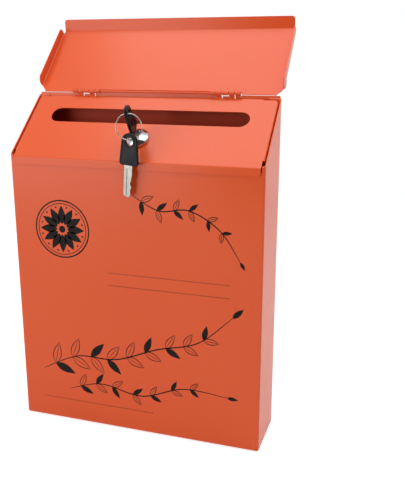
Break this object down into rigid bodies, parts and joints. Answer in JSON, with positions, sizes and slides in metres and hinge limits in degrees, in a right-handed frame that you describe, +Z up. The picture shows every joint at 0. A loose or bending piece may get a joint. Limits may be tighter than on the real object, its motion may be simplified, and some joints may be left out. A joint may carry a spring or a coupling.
{
  "type": "wall mailbox",
  "caption": "Wall mailbox of folded painted sheet steel with a sloping top, a locking slot door, a rain lid folded back on the same hinge, a cam lock and keys on a ring.",
  "frame": {"origin": "centre of the base, on the surface that the case stands on", "axes": "+X to the right seen from the front, +Y towards the wall, +Z up"},
  "size_m": [0.2424, 0.1276, 0.387],
  "materials": {
    "paint": "satin orange-red powder coat",
    "plated_steel": "zinc-plated steel",
    "lock_chrome": "bright chrome plate",
    "brass": "stamped brass",
    "nickel": "nickel-plated, slightly dull",
    "black_plastic": "glossy moulded plastic"
  },
  "bodies": {
    "case": {"front_and_sides": "paint", "back_panel": "paint", "bottom_pan": "paint", "hinge_pin_left": "plated_steel", "hinge_pin_right": "plated_steel"},
    "door": {"slot_door": "paint", "lock_housing": "lock_chrome", "lock_nut": "plated_steel"},
    "lid": {"rain_lid": "paint"},
    "lock_core": {"lock_plug": "lock_chrome", "lock_wafers": "brass", "wafer_springs": "plated_steel", "stop_washer": "plated_steel", "lock_cam": "plated_steel", "spring_washer": "plated_steel", "cam_screw": "plated_steel", "key_blade": "nickel", "key_bow": "black_plastic"},
    "ring": {"key_ring": "nickel"},
    "spare_key": {"spare_key_blade": "nickel", "spare_key_bow": "black_plastic"}
  },
  "joints": [
    {"name": "lid_hinge", "type": "hinge", "parent": "case", "child": "lid", "pos_m": [0, 0.028, 0.3186], "axis": [-1, 0, 0], "range_deg": [-80, 0]},
    {"name": "door_hinge", "type": "hinge", "parent": "case", "child": "door", "pos_m": [0, 0.028, 0.3186], "axis": [-1, 0, 0], "range_deg": [0, 60]},
    {"name": "lock_turn", "type": "hinge", "parent": "door", "child": "lock_core", "pos_m": [0, -0.01126, 0.27955], "axis": [0, -0.662, 0.7495], "range_deg": [0, 90]},
    {"name": "ring_swing", "type": "hinge", "parent": "lock_core", "child": "ring", "pos_m": [0, -0.03218, 0.30323], "axis": [0, -0.662, 0.7495], "range_deg": [-63, 0]},
    {"name": "spare_key_swing", "type": "hinge", "parent": "ring", "child": "spare_key", "pos_m": [0.00272, -0.03622, 0.28167], "axis": [0, -0.662, 0.7495], "range_deg": [-27, 0]}
  ],
  "couplings": [
    {"joint": "ring_swing", "follows": "lock_turn", "ratio": -0.7},
    {"joint": "spare_key_swing", "follows": "lock_turn", "ratio": -0.3}
  ]
}
